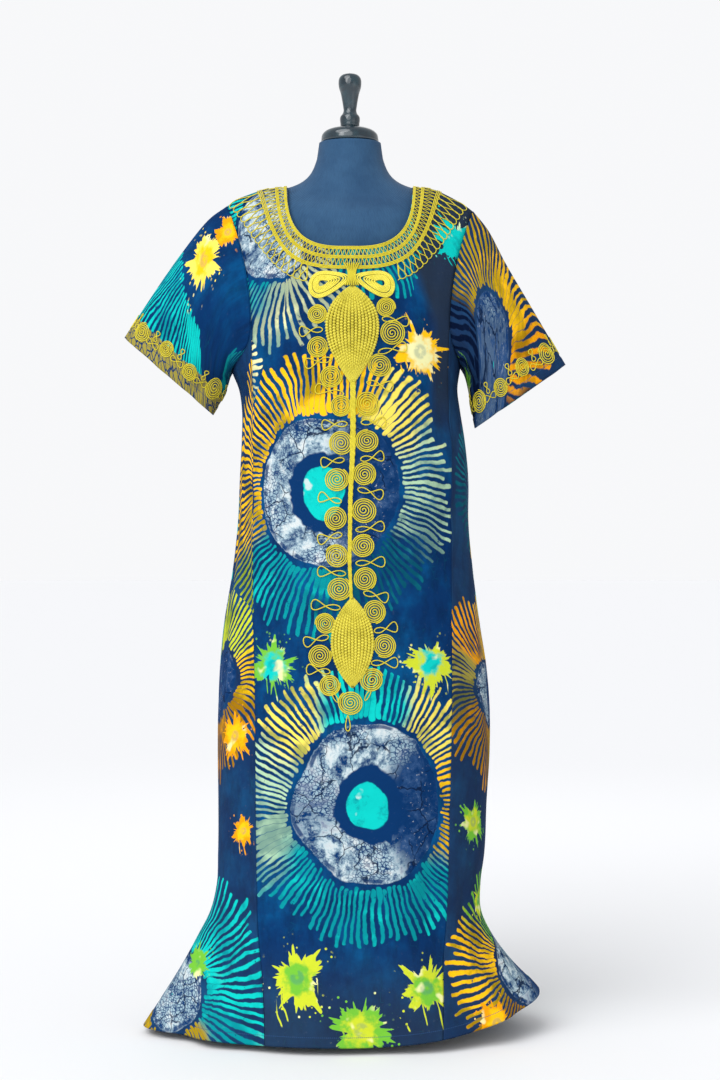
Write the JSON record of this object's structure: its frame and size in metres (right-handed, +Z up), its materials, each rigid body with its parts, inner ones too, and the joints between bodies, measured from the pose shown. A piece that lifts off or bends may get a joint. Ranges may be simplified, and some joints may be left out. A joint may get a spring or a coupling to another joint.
{
  "type": "maxi dress on a limbless dress form",
  "caption": "Loose ankle-length dress with wide short sleeves and an embroidered scoop neck, hanging open and hollow on a smooth limbless dress form with a round base.",
  "frame": {"origin": "middle of the base plate's flat underside, on the floor", "axes": "+Z up; the dress's front faces -Y; +X is a viewer's right when facing the front"},
  "size_m": [0.7492, 0.4123, 1.62],
  "materials": {
    "batik_blue": "printed cotton",
    "batik_slate": "printed cotton",
    "batik_back": "printed cotton",
    "batik_turquoise": "printed cotton",
    "thread_yellow": "satin embroidery thread",
    "form_jersey": "matt jersey cover",
    "form_lacquer": "dark gloss lacquer",
    "stand_metal": "satin grey"
  },
  "bodies": {
    "root": {"front_panel": "batik_blue", "gore_left": "batik_slate", "gore_right": "batik_slate", "back_panel": "batik_back", "sleeve_left": "batik_turquoise", "sleeve_right": "batik_turquoise", "neck_embroidery_front": "thread_yellow", "neck_embroidery_back": "thread_yellow", "bow_loop_left": "thread_yellow", "bow_loop_right": "thread_yellow", "upper_oval": "thread_yellow", "lower_oval": "thread_yellow", "stem": "thread_yellow", "form_torso": "form_jersey", "neck_cap": "form_lacquer", "finial": "form_lacquer", "pole": "stand_metal", "base_plate": "stand_metal"}
  },
  "joints": []
}
